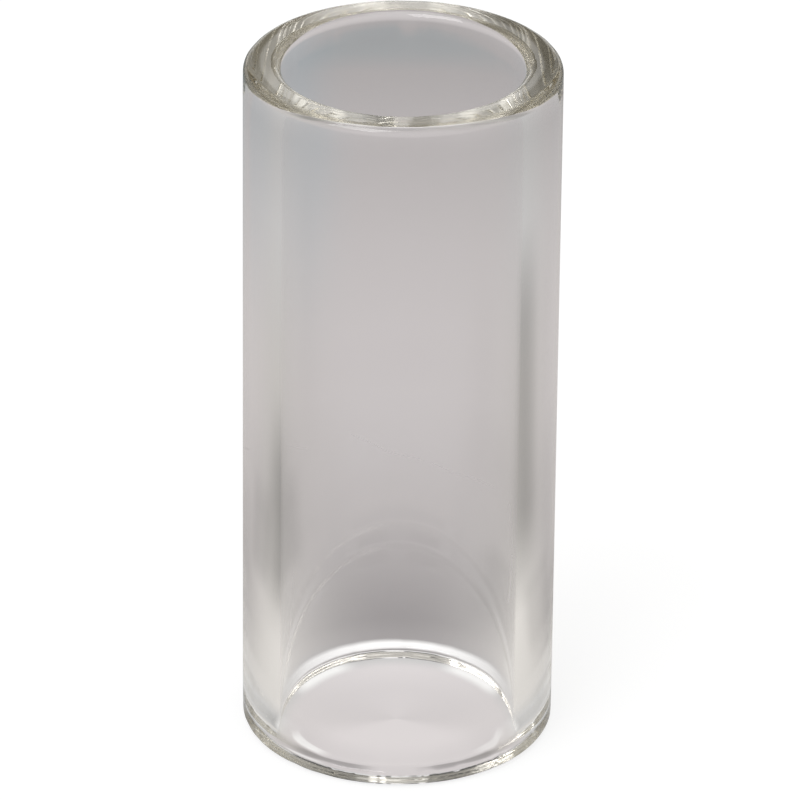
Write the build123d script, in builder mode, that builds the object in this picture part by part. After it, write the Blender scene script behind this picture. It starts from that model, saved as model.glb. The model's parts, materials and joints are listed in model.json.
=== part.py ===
from build123d import *
import os

os.makedirs("parts", exist_ok=True)

# A glass guitar slide: one length of heavy-wall tube, cut square and fire-polished at both ends.
# It stands on one end at the origin, with the bore along +Z. Millimetres.

# Driving dimensions
length = 67.0
outside_diameter = 29.0
bore_diameter = 22.0

# Fire polishing melts both edges of each cut end
outer_lip_radius = 0.9
inner_lip_radius = 0.9

# Worked out from them
outside_radius = outside_diameter / 2
bore_radius = bore_diameter / 2


# Glass tube: the ring-shaped section, drawn out to the full length, with rounded lips
with BuildPart() as glass_tube:
    with BuildSketch(Plane.XY) as tube_section:
        Circle(outside_radius)
        Circle(bore_radius, mode=Mode.SUBTRACT)
    extrude(amount=length)

    circles = glass_tube.edges().filter_by(GeomType.CIRCLE)
    outer_edges = circles.filter_by(lambda edge: edge.radius > bore_radius)
    fillet(outer_edges, radius=outer_lip_radius)

    circles = glass_tube.edges().filter_by(GeomType.CIRCLE)
    inner_edges = circles.filter_by(lambda edge: abs(edge.radius - bore_radius) < 0.001)
    fillet(inner_edges, radius=inner_lip_radius)

glass_tube.part.label = "glass_tube"
export_step(glass_tube.part, "parts/glass_tube.step")

wall = outside_radius - bore_radius
land = wall - outer_lip_radius - inner_lip_radius
print(f"wall {wall:.2f} mm, flat land on each end {land:.2f} mm, "
      f"straight bore {length - 2 * inner_lip_radius:.2f} mm, "
      f"straight outside {length - 2 * outer_lip_radius:.2f} mm, "
      f"volume {glass_tube.part.volume / 1000:.2f} cm3")
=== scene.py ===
"""The looks of a clear glass guitar slide: a heavy-wall tube on end, in a painted soft studio."""

import json
import math

import bpy
from mathutils import Matrix, Vector, noise


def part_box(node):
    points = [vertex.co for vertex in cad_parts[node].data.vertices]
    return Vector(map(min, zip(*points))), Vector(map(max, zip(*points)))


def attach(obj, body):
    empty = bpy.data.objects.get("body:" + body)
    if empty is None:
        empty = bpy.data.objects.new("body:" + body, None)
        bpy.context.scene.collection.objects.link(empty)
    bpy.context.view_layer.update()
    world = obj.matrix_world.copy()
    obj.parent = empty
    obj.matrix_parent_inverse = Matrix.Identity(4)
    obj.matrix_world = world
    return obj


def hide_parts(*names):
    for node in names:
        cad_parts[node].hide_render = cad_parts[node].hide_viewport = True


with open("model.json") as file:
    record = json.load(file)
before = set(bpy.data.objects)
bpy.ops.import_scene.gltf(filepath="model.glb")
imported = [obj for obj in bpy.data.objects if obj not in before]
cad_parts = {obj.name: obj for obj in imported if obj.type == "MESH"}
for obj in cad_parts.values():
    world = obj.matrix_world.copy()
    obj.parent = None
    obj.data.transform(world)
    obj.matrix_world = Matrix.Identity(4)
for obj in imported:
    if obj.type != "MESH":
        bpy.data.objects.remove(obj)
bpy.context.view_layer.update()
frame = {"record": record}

MM = 0.001
DEGREES = 180 / math.pi

# ---------------------------------------------------------------- sizes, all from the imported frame
mounts = {mount["name"]: mount for mount in frame["record"]["mounts"]}
low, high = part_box("glass_tube")
LENGTH = high[2] - low[2]
OUTSIDE_RADIUS = mounts["outside"]["dims"]["r_mm"] * MM
BORE_RADIUS = mounts["finger_bore"]["dims"]["r_mm"] * MM
MID_WALL = (OUTSIDE_RADIUS + BORE_RADIUS) / 2
OUTER_LIP = (LENGTH - mounts["outside"]["dims"]["length_mm"] * MM) / 2
INNER_LIP = (LENGTH - mounts["finger_bore"]["dims"]["length_mm"] * MM) / 2

SEGMENTS = 512
LIP_STEPS = 12
WALL_STEPS = 36

# How uneven the glass is, in mm. The drawn wall ripples, and the flame made the lips run
SLOW_RIPPLE, FAST_RIPPLE, DRAW_LINES = 0.020, 0.010, 0.002
LIP_RUN, LIP_NICKS, LIP_SINK = 0.09, 0.16, 0.10
LIP_REACH = 2.2 * MM


# ---------------------------------------------------------------- glass tube
def quarter(centre_r, centre_z, radius, start, steps):
    """Points of a quarter turn of a lip, as (r, z), starting at the angle start and turning left."""
    points = []
    for step in range(1, steps):
        angle = start + math.pi / 2 * step / steps
        points.append((centre_r + radius * math.cos(angle), centre_z + radius * math.sin(angle)))
    return points


def straight(start, end, steps):
    """Points along a straight stretch of the outline, both ends included."""
    (r0, z0), (r1, z1) = start, end
    return [(r0 + (r1 - r0) * i / steps, z0 + (z1 - z0) * i / steps) for i in range(steps + 1)]


def wall_outline():
    """The wall's section as one closed loop of (r, z): up the outside, over the top, down the bore."""
    top, ro, ri = LENGTH, OUTSIDE_RADIUS, BORE_RADIUS
    land_out, land_in = ro - OUTER_LIP, ri + INNER_LIP
    half = math.pi / 2
    outline = straight((ro, OUTER_LIP), (ro, top - OUTER_LIP), WALL_STEPS)
    outline += quarter(land_out, top - OUTER_LIP, OUTER_LIP, 0, LIP_STEPS)
    outline += straight((land_out, top), (land_in, top), 2)
    outline += quarter(land_in, top - INNER_LIP, INNER_LIP, half, LIP_STEPS)
    outline += straight((ri, top - INNER_LIP), (ri, INNER_LIP), WALL_STEPS)
    outline += quarter(land_in, INNER_LIP, INNER_LIP, 2 * half, LIP_STEPS)
    outline += straight((land_in, 0), (land_out, 0), 2)
    outline += quarter(land_out, OUTER_LIP, OUTER_LIP, 3 * half, LIP_STEPS)
    return outline


def unit_noise(place):
    """Smooth noise, from 0 to 1."""
    return noise.noise(place) * 0.5 + 0.5


def wall_side(r):
    """1 on the outside of the tube, and -1 in its bore."""
    return 1 if r > MID_WALL else -1


def ripple(r, z, angle):
    """How far the drawn glass strays from a true cylinder here, in metres, always into the glass."""
    side = wall_side(r)
    around = Vector((math.cos(angle), math.sin(angle), 0)) * 1.3
    slow = unit_noise(around + Vector((0, 0, z / (26 * MM) + 7 * side)))
    fast = unit_noise(around * 3.1 + Vector((4, 2, z / (60 * MM) + 3 * side)))
    # Drawing the tube leaves faint long lines up it
    lines = unit_noise(around * 8 + Vector((1, 6, z / (90 * MM) + 3 * side)))
    depth = slow * SLOW_RIPPLE + fast * FAST_RIPPLE + lines * DRAW_LINES
    return -depth * side * MM


def melt(r, z, angle):
    """How far a fire-polished lip has run here, as (dr, dz) in metres, always into the glass."""
    depth = min(z, LENGTH - z)
    if depth > LIP_REACH:
        return 0, 0
    near = (1 - depth / LIP_REACH) ** 2
    top = z > LENGTH / 2
    around = Vector((math.cos(angle), math.sin(angle), 5 if top else 9))
    side = wall_side(r)
    wave = unit_noise(around * 1.9 + Vector((side * 3, 0, 0)))
    nick = max(0, noise.noise(around * 6.1 + Vector((side * 5, 2, 0))) - 0.15)
    run = near * (LIP_RUN * wave + LIP_NICKS * nick) * MM
    sink = near * LIP_SINK * unit_noise(around * 1.4) * MM
    return -side * run, (-sink if top else 0)


def build_tube():
    """The glass tube as one closed mesh, turned from its wall's outline."""
    outline = wall_outline()
    count = len(outline)
    points, faces = [], []
    for segment in range(SEGMENTS):
        angle = 2 * math.pi * segment / SEGMENTS
        for r, z in outline:
            run, sink = melt(r, z, angle)
            away = r + ripple(r, z, angle) + run
            points.append((away * math.cos(angle), away * math.sin(angle), z + sink))
        here, there = segment * count, (segment + 1) % SEGMENTS * count
        for i in range(count):
            j = (i + 1) % count
            faces.append((here + i, there + i, there + j, here + j))
    mesh = bpy.data.meshes.new("glass_tube_body")
    mesh.from_pydata(points, [], faces)
    mesh.validate()
    mesh.polygons.foreach_set("use_smooth", [True] * len(mesh.polygons))
    mesh.update()
    tube = bpy.data.objects.new("glass_tube_body", mesh)
    bpy.context.collection.objects.link(tube)
    return tube


# ---------------------------------------------------------------- node helpers
def wire(links, source, target):
    """Sets a socket to a number or colour, or links it to another node's output."""
    if isinstance(source, bpy.types.NodeSocket):
        links.new(source, target)
    else:
        target.default_value = source


def math_node(tree, operation, first, second=0.0):
    """The output of a Math node with these two inputs."""
    node = tree.nodes.new("ShaderNodeMath")
    node.operation = operation
    wire(tree.links, first, node.inputs[0])
    wire(tree.links, second, node.inputs[1])
    return node.outputs[0]


def between(tree, value, low_end, high_end):
    """0 where value is under low_end, 1 over high_end, and a smooth step between them."""
    node = tree.nodes.new("ShaderNodeMapRange")
    node.interpolation_type = "SMOOTHSTEP"
    tree.links.new(value, node.inputs["Value"])
    node.inputs["From Min"].default_value = low_end
    node.inputs["From Max"].default_value = high_end
    return node.outputs["Result"]


def inside(tree, value, centre, inner, outer):
    """1 where value is within inner of centre, and 0 from outer on, with a smooth step between."""
    apart = math_node(tree, "ABSOLUTE", math_node(tree, "SUBTRACT", value, centre))
    return math_node(tree, "SUBTRACT", 1.0, between(tree, apart, inner, outer))


def times(tree, *factors):
    """The product of these outputs and numbers."""
    product = factors[0]
    for factor in factors[1:]:
        product = math_node(tree, "MULTIPLY", product, factor)
    return product


def ramp(tree, source, stops, reach):
    """A colour ramp over source, from stops of (position, colour). Positions are up to reach."""
    node = tree.nodes.new("ShaderNodeValToRGB")
    node.color_ramp.interpolation = "LINEAR"
    elements = node.color_ramp.elements
    while len(elements) < len(stops):
        elements.new(1)
    for element, (position, colour) in zip(elements, stops):
        element.position = position / reach
        element.color = (*colour, 1)
    tree.links.new(math_node(tree, "DIVIDE", source, reach), node.inputs["Fac"])
    return node.outputs["Color"]


def mix_colour(tree, factor, first, second, blend="MIX"):
    """first where factor is 0, and second, or second blended over first, where it is 1."""
    node = tree.nodes.new("ShaderNodeMix")
    node.data_type = "RGBA"
    node.blend_type = blend
    wire(tree.links, factor, node.inputs["Factor"])
    wire(tree.links, first, node.inputs[6])
    wire(tree.links, second, node.inputs[7])
    return node.outputs[2]


def grey(level):
    """A plain grey, or white, as a socket's colour."""
    return level, level, level, 1


def split(tree, vector):
    """The X, Y and Z outputs of a vector."""
    node = tree.nodes.new("ShaderNodeSeparateXYZ")
    tree.links.new(vector, node.inputs[0])
    return node.outputs["X"], node.outputs["Y"], node.outputs["Z"]


def length_of(tree, vector):
    """The length of a vector."""
    node = tree.nodes.new("ShaderNodeVectorMath")
    node.operation = "LENGTH"
    tree.links.new(vector, node.inputs[0])
    return node.outputs["Value"]


def is_camera_ray(tree):
    """1 for what the camera itself sees, and 0 for what is seen through or in the glass."""
    return tree.nodes.new("ShaderNodeLightPath").outputs["Is Camera Ray"]


# ---------------------------------------------------------------- glass
# Fine marks from use, as (start across, start up, end across, end up, width), in mm on the outside.
# Across is along the surface from the front, to the right, and up is from the standing end.
SCRATCHES = [
    (-5.0, 36.4, 2.5, 33.9, 0.05),
    (2.5, 33.9, 9.6, 29.8, 0.04),
    (11.2, 28.0, 11.6, 22.5, 0.09),
    (11.6, 22.5, 11.3, 17.0, 0.12),
    (-10.4, 21.5, -11.0, 12.0, 0.05),
    (-33.0, 24.0, -25.5, 27.0, 0.05),
]
SCRATCH_ROUGHNESS = 0.35
SMUDGE_ROUGHNESS = 0.03


def scratch(tree, across, up, mark):
    """1 on one straight mark, and 0 away from it, with soft sides and ends."""
    x0, z0, x1, z1, width = mark
    length = math.hypot(x1 - x0, z1 - z0)
    along_x, along_z = (x1 - x0) / length, (z1 - z0) / length
    east = math_node(tree, "SUBTRACT", across, (x0 + x1) / 2)
    north = math_node(tree, "SUBTRACT", up, (z0 + z1) / 2)
    along = math_node(tree, "ADD", times(tree, east, along_x), times(tree, north, along_z))
    off = math_node(tree, "SUBTRACT", times(tree, north, along_x), times(tree, east, along_z))
    return times(tree, inside(tree, off, 0, width * 0.3, width),
                 inside(tree, along, 0, length * 0.4, length * 0.52))


def noise_node(tree, vector, scale, detail):
    """The value of a Noise Texture node. At scale 1000 its lumps are about 1 mm."""
    node = tree.nodes.new("ShaderNodeTexNoise")
    tree.links.new(vector, node.inputs["Vector"])
    node.inputs["Scale"].default_value = scale
    node.inputs["Detail"].default_value = detail
    return node.outputs["Fac"]


def glass_marks(tree):
    """Where the outside is marked: the fine scratches, and the faint smudges of handling."""
    coordinates = tree.nodes.new("ShaderNodeTexCoord").outputs["Object"]
    x, y, z = split(tree, coordinates)
    angle = math_node(tree, "ARCTAN2", x, times(tree, y, -1.0))
    # The marks aren't quite straight
    wander = noise_node(tree, coordinates, 260, 0)
    wander = times(tree, math_node(tree, "SUBTRACT", wander, 0.5), 0.5)
    across = math_node(tree, "ADD", times(tree, angle, OUTSIDE_RADIUS / MM), wander)
    up = math_node(tree, "ADD", math_node(tree, "DIVIDE", z, MM), wander)
    flat = tree.nodes.new("ShaderNodeCombineXYZ")
    tree.links.new(x, flat.inputs[0])
    tree.links.new(y, flat.inputs[1])
    outside = math_node(tree, "GREATER_THAN", length_of(tree, flat.outputs[0]), MID_WALL)
    scratches = scratch(tree, across, up, SCRATCHES[0])
    for mark in SCRATCHES[1:]:
        scratches = math_node(tree, "MAXIMUM", scratches, scratch(tree, across, up, mark))
    smudge = between(tree, noise_node(tree, coordinates, 75, 3), 0.52, 0.72)
    return times(tree, scratches, outside), times(tree, smudge, outside)


def clear_glass():
    """Clear drawn glass, faintly olive in its depth. Lamps shine through it: its shadow is light."""
    material = bpy.data.materials.new("clear_glass")
    material.use_nodes = True
    tree = material.node_tree
    nodes, links = tree.nodes, tree.links
    nodes.clear()
    output = nodes.new("ShaderNodeOutputMaterial")
    glass = nodes.new("ShaderNodeBsdfPrincipled")
    glass.inputs["Base Color"].default_value = (0.96, 0.955, 0.96, 1)
    glass.inputs["IOR"].default_value = 1.474
    glass.inputs["Transmission Weight"].default_value = 1.0

    scratches, smudges = glass_marks(tree)
    rough = math_node(tree, "ADD", times(tree, scratches, SCRATCH_ROUGHNESS),
                      times(tree, smudges, SMUDGE_ROUGHNESS))
    links.new(rough, glass.inputs["Roughness"])

    depth = nodes.new("ShaderNodeVolumeAbsorption")
    depth.inputs["Color"].default_value = (0.60, 0.50, 0.20, 1)
    depth.inputs["Density"].default_value = 4
    links.new(depth.outputs["Volume"], output.inputs["Volume"])

    shadow = nodes.new("ShaderNodeBsdfTransparent")
    shadow.inputs["Color"].default_value = grey(0.80)
    path = nodes.new("ShaderNodeLightPath")
    mix = nodes.new("ShaderNodeMixShader")
    links.new(path.outputs["Is Shadow Ray"], mix.inputs["Fac"])
    links.new(glass.outputs["BSDF"], mix.inputs[1])
    links.new(shadow.outputs["BSDF"], mix.inputs[2])
    links.new(mix.outputs["Shader"], output.inputs["Surface"])
    return material


tube = build_tube()
tube.data.materials.append(clear_glass())
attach(tube, "root")
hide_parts("glass_tube")


# ---------------------------------------------------------------- what the glass sees
# The camera itself sees plain white paper and a white background. The glass sees a painted studio
# instead: paper with soft shadows and a bright arc round the tube, and the room beyond. Its tones
# were tuned to the photograph. They aren't simulated light, and in a plain white studio the wall
# of the tube hardly shows.
WARM = (1.04, 0.985, 0.985)
PLAIN = (1.0, 1.0, 0.99)
COOL = (0.97, 1.0, 1.02)
STRAW = (1.03, 1.0, 0.95)
OLIVE = (1.06, 1.0, 0.84)

HORIZON = (0.60, 0.60, 0.59, 1)
# Colours of the painted glints, the painted highlight along the foot, the painted cooler light and the
# painted shadows
GLINT_LIGHT = (1.1, 1.1, 1.08, 1)
FOOT_HIGHLIGHT = (1.02, 1.02, 1.0, 1)
COOLER = (0.91, 1.0, 1.04, 1)
BLACK = (0, 0, 0, 1)

# Painted soft shadows on the paper, each as (bearing, full within, gone past) in degrees from straight
# behind, (starts, is full, still full, gone) in mm from the tube's axis, and its strength.
SHADOWS = [
    ((62, 0, 25), (38, 55, 95, 125), 0.34),
    ((-78, 0, 30), (26, 44, 62, 84), 0.42),
    ((-125, 10, 45), (10.5, 12, 16, 18), 0.35),
    ((46, 14, 28), (20, 28, 36, 42), 0.16),
    ((-46, 8, 20), (34, 40, 50, 60), 0.16),
]


def tones(stops, tint=WARM):
    """Ramp stops from (position, grey), or (position, grey, its own tint)."""
    shaded = []
    for position, level, *own in stops:
        colour = own[0] if own else tint
        shaded.append((position, tuple(level * channel for channel in colour)))
    return shaded


def bearing(tree, x, y):
    """Degrees round from straight behind the tube, and the cosine of that angle."""
    angle = math_node(tree, "ARCTAN2", x, y)
    return times(tree, angle, DEGREES), math_node(tree, "COSINE", angle)


def floor_tones(tree):
    """The paper as the glass sees it, in painted light and shade. Its ramps are over the distance from
    the tube's axis, in mm.
    """
    coordinates = tree.nodes.new("ShaderNodeTexCoord").outputs["Object"]
    distance = math_node(tree, "DIVIDE", length_of(tree, coordinates), MM)
    x, y, _ = split(tree, coordinates)
    azimuth, ahead = bearing(tree, x, y)
    sideways = math_node(tree, "ABSOLUTE", azimuth)
    # The foot of the front wall, seen through the glass, follows circles about a point behind the axis
    foot = math_node(tree, "SUBTRACT", distance, times(tree, ahead, 1.3))

    # Behind: a painted bright line right behind the glass, then its painted shadow, which opens out
    behind = ramp(tree, distance, tones([
        (6, 0.66), (10, 0.72), (12, 0.58, PLAIN), (14, 0.50, PLAIN), (15.0, 1.2, PLAIN),
        (16.4, 1.2, PLAIN), (17.1, 0.34), (21, 0.30), (27, 0.36), (38, 0.47), (50, 0.52), (70, 0.60),
        (85, 0.60), (105, 0.56), (130, 0.48), (148, 0.41), (153, 0.37, COOL), (160, 0.34, COOL),
        (200, 0.29, COOL),
    ]), reach=200)
    # Beside: painted light and shade, brightest from about 18 to 34 mm out
    beside = ramp(tree, distance, tones([
        (6, 0.62), (10, 0.62), (12, 0.55, PLAIN), (14, 0.50, PLAIN), (16.6, 0.62, PLAIN),
        (18.5, 0.72, STRAW), (27, 0.76, STRAW), (34, 0.80, STRAW), (42, 0.62, STRAW), (56, 0.50, STRAW),
        (85, 0.55, STRAW), (120, 0.60, PLAIN), (160, 0.45, PLAIN), (200, 0.38, PLAIN),
    ]), reach=200)
    # In front: painted shade under the wall of the glass, then a painted bright arc like the one it
    # throws forward
    before = ramp(tree, distance, tones([
        (6, 0.70), (9.5, 0.64), (11, 0.42, OLIVE), (12.2, 0.20, OLIVE), (15, 0.22, OLIVE),
        (16, 0.30, PLAIN), (17.5, 0.70, STRAW), (19, 1.25, STRAW),
        (24, 1.0, STRAW), (32, 1.1, PLAIN), (38, 1.0, PLAIN), (50, 0.60, PLAIN), (85, 0.62, PLAIN),
        (120, 0.64, PLAIN), (190, 0.42, PLAIN),
    ]), reach=200)
    # Straight ahead and close in: painted shade under the wall, a little lighter at its outside edge
    # and darker again just outside it
    under = ramp(tree, distance, tones([
        (6, 0.70), (9.5, 0.66), (12, 0.50), (14.5, 0.60, PLAIN), (16, 0.35, PLAIN),
    ]), reach=200)

    rear = math_node(tree, "MAXIMUM", ahead, 0.0)
    paper = mix_colour(tree, times(tree, rear, rear), beside, behind)
    front = math_node(tree, "MULTIPLY", ahead, -1.0)
    paper = mix_colour(tree, between(tree, front, 0.0, 0.7), paper, before)
    near_centre = times(tree, between(tree, front, 0.93, 0.99), inside(tree, distance, 0, 15, 16))
    paper = mix_colour(tree, near_centre, paper, under)
    shadows = []
    for (place, core, edge), (start, full, until, gone), strength in SHADOWS:
        shadows.append(times(tree, inside(tree, azimuth, place, core, edge),
                             between(tree, distance, start, full),
                             inside(tree, distance, 0, until, gone), strength))
    # A painted shadow lies as a darker line along the foot of the front wall, inside it, to each side
    # of the middle
    shadows.append(times(tree, inside(tree, sideways, 143, 12, 30),
                         between(tree, foot, 10.35, 10.55),
                         inside(tree, distance, 0, 11, 12), 0.42))
    for shadow in shadows:
        paper = mix_colour(tree, shadow, paper, BLACK, "MULTIPLY")
    # A painted highlight lies as a brighter line just inside that one at the sides, and is strongest on
    # the left
    for angle, spread, strength in ((-122, 20, 0.70), (116, 20, 0.35)):
        glow = times(tree, inside(tree, azimuth, angle, spread * 0.3, spread),
                     inside(tree, foot, 9.95, 0.2, 0.45), strength)
        paper = mix_colour(tree, glow, paper, FOOT_HIGHLIGHT)
    # Two small painted glints lie on each side, one under the wall and one just outside it
    for angle, spread, radius in ((45, 25, 12.3), (112, 13, 16)):
        glint = times(tree, inside(tree, sideways, angle, spread * 0.4, spread),
                      inside(tree, distance, radius, 1, 2.4), 0.75)
        paper = mix_colour(tree, glint, paper, GLINT_LIGHT)
    # Painted cooler light falls on the far left of the paper
    left = math_node(tree, "DIVIDE", x, -MM)
    back = math_node(tree, "DIVIDE", y, MM)
    cooler = times(tree, between(tree, left, 10, 35), between(tree, back, 60, 150))
    paper = mix_colour(tree, cooler, paper, COOLER, "MULTIPLY")
    # Far off it is as light as the room, so the horizon doesn't show
    return mix_colour(tree, between(tree, distance, 250, 1300), paper, HORIZON)


def build_floor():
    """A sheet of paper, plain white to the camera. It is just under the tube's foot."""
    size = 1.6
    mesh = bpy.data.meshes.new("floor")
    corners = [(-size, -size, 0), (size, -size, 0), (size, size, 0), (-size, size, 0)]
    mesh.from_pydata(corners, [], [(0, 1, 2, 3)])
    mesh.update()
    floor = bpy.data.objects.new("floor", mesh)
    bpy.context.collection.objects.link(floor)
    floor.location.z = -0.02 * MM
    material = bpy.data.materials.new("floor_paper")
    material.use_nodes = True
    tree = material.node_tree
    tree.nodes.clear()
    # To the glass the paper glows with the painted light and shade of floor_tones; the camera sees
    # plain lit white paper
    glow = tree.nodes.new("ShaderNodeEmission")
    tree.links.new(floor_tones(tree), glow.inputs["Color"])
    lit = tree.nodes.new("ShaderNodeBsdfDiffuse")
    lit.inputs["Color"].default_value = grey(0.4)
    white = tree.nodes.new("ShaderNodeEmission")
    white.inputs["Color"].default_value = grey(0.76)
    paper = tree.nodes.new("ShaderNodeAddShader")
    tree.links.new(lit.outputs[0], paper.inputs[0])
    tree.links.new(white.outputs[0], paper.inputs[1])
    mix = tree.nodes.new("ShaderNodeMixShader")
    tree.links.new(is_camera_ray(tree), mix.inputs["Fac"])
    tree.links.new(glow.outputs[0], mix.inputs[1])
    tree.links.new(paper.outputs[0], mix.inputs[2])
    output = tree.nodes.new("ShaderNodeOutputMaterial")
    tree.links.new(mix.outputs[0], output.inputs["Surface"])
    mesh.materials.append(material)


build_floor()


# ---------------------------------------------------------------- light
def aim(thing, target):
    """Turns a lamp or camera at target."""
    forward = (Vector(target) - thing.location).normalized()
    thing.rotation_euler = forward.to_track_quat("-Z", "Y").to_euler()


def from_angle(azimuth, elevation, distance, target=(0, 0, 0)):
    """A place at this distance from target. Azimuth 0 is the camera's side, and 90 its right."""
    a, e = math.radians(azimuth), math.radians(elevation)
    way = Vector((math.sin(a) * math.cos(e), -math.cos(a) * math.cos(e), math.sin(e)))
    return Vector(target) + way * distance


def softbox(name, azimuth, elevation, distance, size, watts):
    """A square soft lamp, aimed at the tube."""
    data = bpy.data.lights.new(name, "AREA")
    data.size = size
    data.energy = watts
    lamp = bpy.data.objects.new(name, data)
    bpy.context.collection.objects.link(lamp)
    lamp.location = from_angle(azimuth, elevation, distance)
    aim(lamp, (0, 0, 0.03))


softbox("key", azimuth=-40, elevation=55, distance=0.9, size=0.5, watts=3)


def room_tones(tree):
    """The room as the glass sees it. Its ramps are over the height from the horizon, in degrees."""
    x, y, z = split(tree, tree.nodes.new("ShaderNodeTexCoord").outputs["Generated"])
    azimuth, ahead = bearing(tree, x, y)
    height = times(tree, math_node(tree, "ARCSINE", z), DEGREES)

    # A wide soft light is overhead, and reaches down on the camera's side
    behind = ramp(tree, height, tones([
        (0, 0.60), (2.5, 1.15), (6, 1.0), (12, 0.50), (30, 0.48), (42, 0.45), (56, 0.26), (66, 0.07),
        (70, 0.05), (79, 1.0), (84, 1.3),
    ], PLAIN), reach=90)
    beside = ramp(tree, height, tones([
        (0, 0.60), (20, 0.50), (38, 0.48), (46, 0.42), (54, 0.12), (67, 0.08), (76, 1.0), (82, 1.3),
    ], PLAIN), reach=90)
    before = ramp(tree, height, tones([
        (0, 0.60), (20, 0.50), (35, 0.62), (65, 0.66), (76, 1.0), (82, 1.3),
    ], PLAIN), reach=90)
    room = mix_colour(tree, between(tree, ahead, 0.3, 0.9), beside, behind)
    front = math_node(tree, "MULTIPLY", ahead, -1.0)
    room = mix_colour(tree, between(tree, front, 0.3, 0.9), room, before)
    # A dark panel stands right behind, with a narrow bright gap near the middle
    panel = times(tree, inside(tree, azimuth, 0, 4, 9), between(tree, height, 3, 7),
                  inside(tree, height, 0, 38, 46))
    light = mix_colour(tree, inside(tree, height, 25, 6, 9), grey(0.84), grey(1.15))
    gap = mix_colour(tree, inside(tree, azimuth, -0.35, 0.6, 1.6), grey(0.04), light)
    return mix_colour(tree, panel, room, gap)


def build_world():
    """The room, plain white to the camera."""
    world = bpy.data.worlds.new("studio")
    world.use_nodes = True
    bpy.context.scene.world = world
    tree = world.node_tree
    background = tree.nodes["Background"]
    seen = mix_colour(tree, is_camera_ray(tree), room_tones(tree), grey(1))
    tree.links.new(seen, background.inputs["Color"])
    background.inputs["Strength"].default_value = 1.0


build_world()


# ---------------------------------------------------------------- camera
CAMERA_TARGET = Vector((0, 0, 0.03286))
CAMERA_ELEVATION = 26.79
CAMERA_DISTANCE = 0.6874
CAMERA_ROLL = 0.58
CAMERA_LENS = 335.7


def build_camera():
    """The camera at the photograph's angle, a little rolled, as the tube leans in it."""
    data = bpy.data.cameras.new("camera")
    data.sensor_width = 36
    data.lens = CAMERA_LENS
    data.clip_start, data.clip_end = 0.05, 10
    camera = bpy.data.objects.new("camera", data)
    bpy.context.collection.objects.link(camera)
    camera.location = from_angle(0, CAMERA_ELEVATION, CAMERA_DISTANCE, CAMERA_TARGET)
    view = (CAMERA_TARGET - camera.location).to_track_quat("-Z", "Y").to_matrix()
    roll = Matrix.Rotation(math.radians(CAMERA_ROLL), 3, "Z")
    camera.rotation_euler = (view @ roll).to_euler()
    return camera


scene = bpy.context.scene
scene.camera = build_camera()
scene.view_settings.view_transform = "Standard"
scene.cycles.caustics_refractive = False
scene.cycles.caustics_reflective = False
# Light in the wall is reflected along it many times before it comes out at a rim
scene.cycles.max_bounces = 64
scene.cycles.transmission_bounces = 64
scene.cycles.glossy_bounces = 64
scene.cycles.transparent_max_bounces = 16
